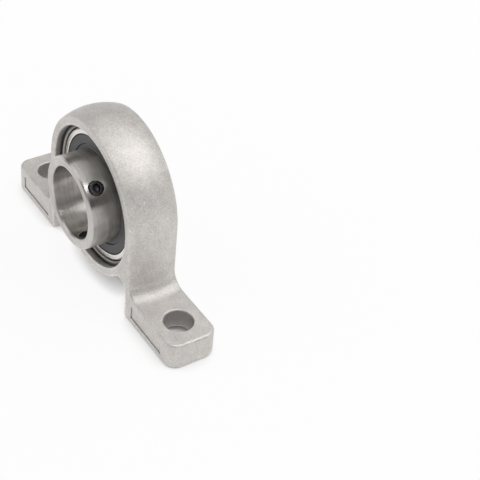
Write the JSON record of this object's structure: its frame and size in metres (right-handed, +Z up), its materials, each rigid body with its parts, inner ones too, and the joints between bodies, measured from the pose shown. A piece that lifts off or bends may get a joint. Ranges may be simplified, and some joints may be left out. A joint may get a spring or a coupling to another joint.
{
  "type": "pillow block bearing",
  "caption": "Self-aligning pillow block: sealed ball bearing insert with set screws in a slim two-bolt cast housing.",
  "frame": {"origin": "on the base plane, under the shaft axis, midway between the two foot bolts and in the housing's mid-plane", "axes": "+X from foot to foot, Y along the shaft with the long end of the inner ring and its set screws at -Y (the front), +Z up"},
  "size_m": [0.111, 0.025, 0.0613],
  "materials": {
    "housing_casting": "satin, blasted die casting",
    "outer_ring_steel": "ground",
    "inner_ring_steel": "turned and ground",
    "ball_steel": "polished",
    "cage_steel": "pressed sheet",
    "rivet_steel": "upset heads",
    "seal_rubber": "matt nitrile rubber",
    "seal_plate_steel": "pressed sheet",
    "black_steel": "black oxide"
  },
  "bodies": {
    "housing": {"housing": "housing_casting"},
    "outer_ring_set": {"outer_ring": "outer_ring_steel", "seal_front": "seal_rubber", "seal_rear": "seal_rubber", "seal_front_plate": "seal_plate_steel", "seal_rear_plate": "seal_plate_steel"},
    "inner_ring": {"inner_ring": "inner_ring_steel"},
    "cage_set": {"cage_front": "cage_steel", "cage_rear": "cage_steel", "cage_rivets": "rivet_steel"},
    "ball_01": {"ball_01": "ball_steel"},
    "ball_02": {"ball_02": "ball_steel"},
    "ball_03": {"ball_03": "ball_steel"},
    "ball_04": {"ball_04": "ball_steel"},
    "ball_05": {"ball_05": "ball_steel"},
    "ball_06": {"ball_06": "ball_steel"},
    "ball_07": {"ball_07": "ball_steel"},
    "ball_08": {"ball_08": "ball_steel"},
    "ball_09": {"ball_09": "ball_steel"},
    "ball_10": {"ball_10": "ball_steel"},
    "set_screw_a": {"set_screw_a": "black_steel"},
    "set_screw_b": {"set_screw_b": "black_steel"}
  },
  "joints": [
    {"name": "insert_swivel", "type": "hinge", "parent": "housing", "child": "outer_ring_set", "pos_m": [0, 0, 0.032], "axis": [1, 0, 0], "range_deg": [-3, 3]},
    {"name": "inner_ring_spin", "type": "hinge", "parent": "outer_ring_set", "child": "inner_ring", "pos_m": [0, 0, 0.032], "axis": [0, -1, 0], "continuous": true},
    {"name": "cage_orbit", "type": "hinge", "parent": "outer_ring_set", "child": "cage_set", "pos_m": [0, 0, 0.032], "axis": [0, -1, 0], "continuous": true},
    {"name": "ball_01_roll", "type": "hinge", "parent": "cage_set", "child": "ball_01", "pos_m": [0, 0, 0.05], "axis": [0, -1, 0], "continuous": true},
    {"name": "ball_02_roll", "type": "hinge", "parent": "cage_set", "child": "ball_02", "pos_m": [-0.01058, 0, 0.04656], "axis": [0, -1, 0], "continuous": true},
    {"name": "ball_03_roll", "type": "hinge", "parent": "cage_set", "child": "ball_03", "pos_m": [-0.01712, 0, 0.03756], "axis": [0, -1, 0], "continuous": true},
    {"name": "ball_04_roll", "type": "hinge", "parent": "cage_set", "child": "ball_04", "pos_m": [-0.01712, 0, 0.02644], "axis": [0, -1, 0], "continuous": true},
    {"name": "ball_05_roll", "type": "hinge", "parent": "cage_set", "child": "ball_05", "pos_m": [-0.01058, 0, 0.01744], "axis": [0, -1, 0], "continuous": true},
    {"name": "ball_06_roll", "type": "hinge", "parent": "cage_set", "child": "ball_06", "pos_m": [0, 0, 0.014], "axis": [0, -1, 0], "continuous": true},
    {"name": "ball_07_roll", "type": "hinge", "parent": "cage_set", "child": "ball_07", "pos_m": [0.01058, 0, 0.01744], "axis": [0, -1, 0], "continuous": true},
    {"name": "ball_08_roll", "type": "hinge", "parent": "cage_set", "child": "ball_08", "pos_m": [0.01712, 0, 0.02644], "axis": [0, -1, 0], "continuous": true},
    {"name": "ball_09_roll", "type": "hinge", "parent": "cage_set", "child": "ball_09", "pos_m": [0.01712, 0, 0.03756], "axis": [0, -1, 0], "continuous": true},
    {"name": "ball_10_roll", "type": "hinge", "parent": "cage_set", "child": "ball_10", "pos_m": [0.01058, 0, 0.04656], "axis": [0, -1, 0], "continuous": true},
    {"name": "set_screw_a_travel", "type": "slide", "parent": "inner_ring", "child": "set_screw_a", "axis": [0.6561, 0, 0.7547], "range_m": [-0.0001, 0.003]},
    {"name": "set_screw_b_travel", "type": "slide", "parent": "inner_ring", "child": "set_screw_b", "axis": [0.3256, 0, -0.9455], "range_m": [-0.0001, 0.003]}
  ],
  "couplings": [
    {"joint": "cage_orbit", "follows": "inner_ring_spin", "ratio": 0.41181},
    {"joint": "ball_01_roll", "follows": "inner_ring_spin", "ratio": -2.7465},
    {"joint": "ball_02_roll", "follows": "inner_ring_spin", "ratio": -2.7465},
    {"joint": "ball_03_roll", "follows": "inner_ring_spin", "ratio": -2.7465},
    {"joint": "ball_04_roll", "follows": "inner_ring_spin", "ratio": -2.7465},
    {"joint": "ball_05_roll", "follows": "inner_ring_spin", "ratio": -2.7465},
    {"joint": "ball_06_roll", "follows": "inner_ring_spin", "ratio": -2.7465},
    {"joint": "ball_07_roll", "follows": "inner_ring_spin", "ratio": -2.7465},
    {"joint": "ball_08_roll", "follows": "inner_ring_spin", "ratio": -2.7465},
    {"joint": "ball_09_roll", "follows": "inner_ring_spin", "ratio": -2.7465},
    {"joint": "ball_10_roll", "follows": "inner_ring_spin", "ratio": -2.7465}
  ]
}
